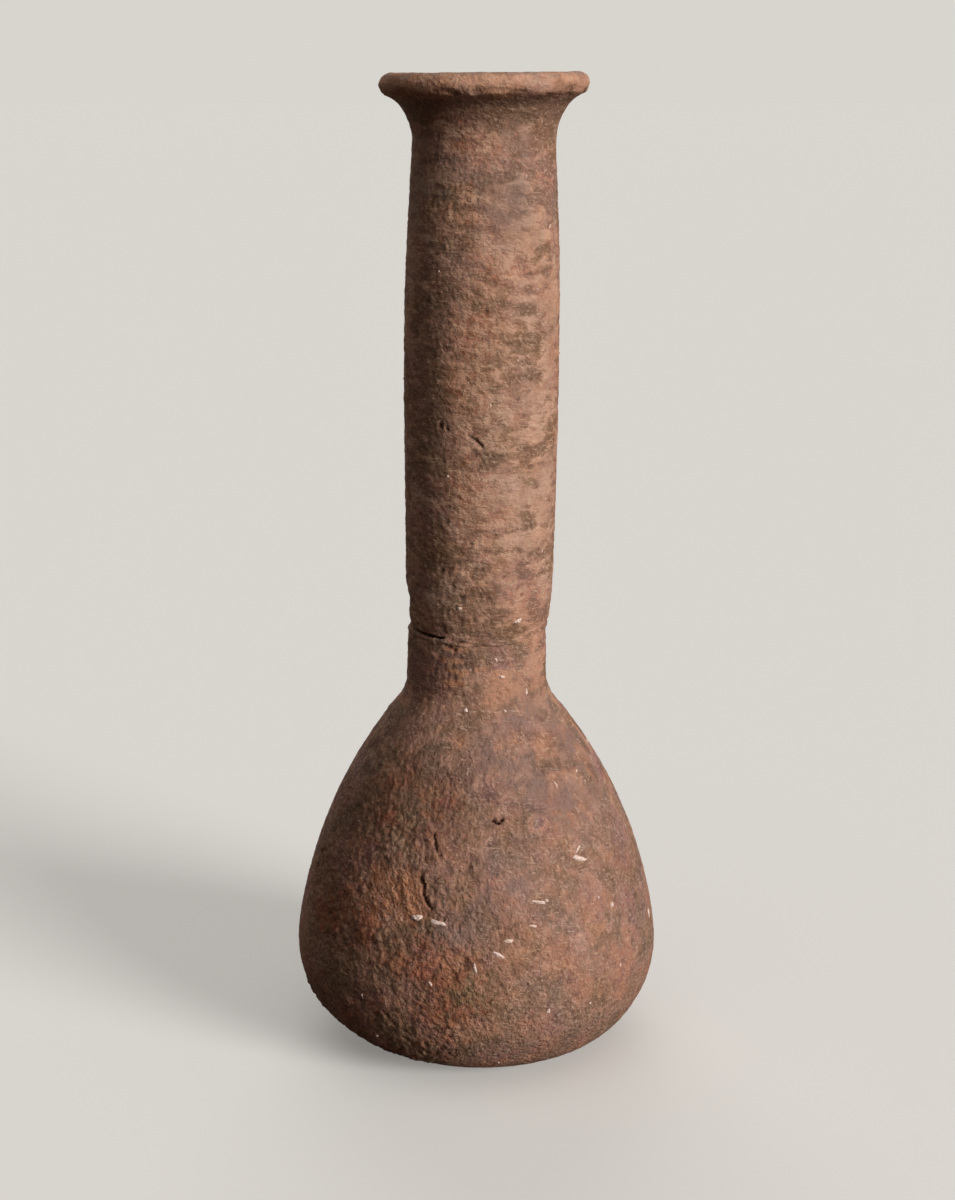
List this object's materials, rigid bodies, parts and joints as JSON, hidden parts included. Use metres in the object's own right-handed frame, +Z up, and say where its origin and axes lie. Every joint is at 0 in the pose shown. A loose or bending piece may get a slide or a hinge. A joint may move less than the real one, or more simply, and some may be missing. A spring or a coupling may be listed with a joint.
{
  "type": "ceramic unguentarium",
  "caption": "Small unglazed clay oil bottle: pear-shaped body on a flat foot, tall narrow neck luted on with slip, everted rounded rim, open bore from mouth to belly.",
  "frame": {"origin": "in the plane of the flat foot, under the centre of the belly", "axes": "+Z up from foot to mouth, -Y towards the side shown in the picture, +X to its right"},
  "size_m": [0.0628, 0.0628, 0.1652],
  "materials": {
    "body_clay": "unglazed fired red clay, gritty, worn and earth-stained",
    "slip_clay": "fired clay slip, matt, dark with dirt in the seam",
    "neck_clay": "unglazed fired red clay with horizontal wheel marks and pale worn patches"
  },
  "bodies": {
    "root": {"body": "body_clay", "luting_slip": "slip_clay", "neck": "neck_clay"}
  },
  "joints": []
}
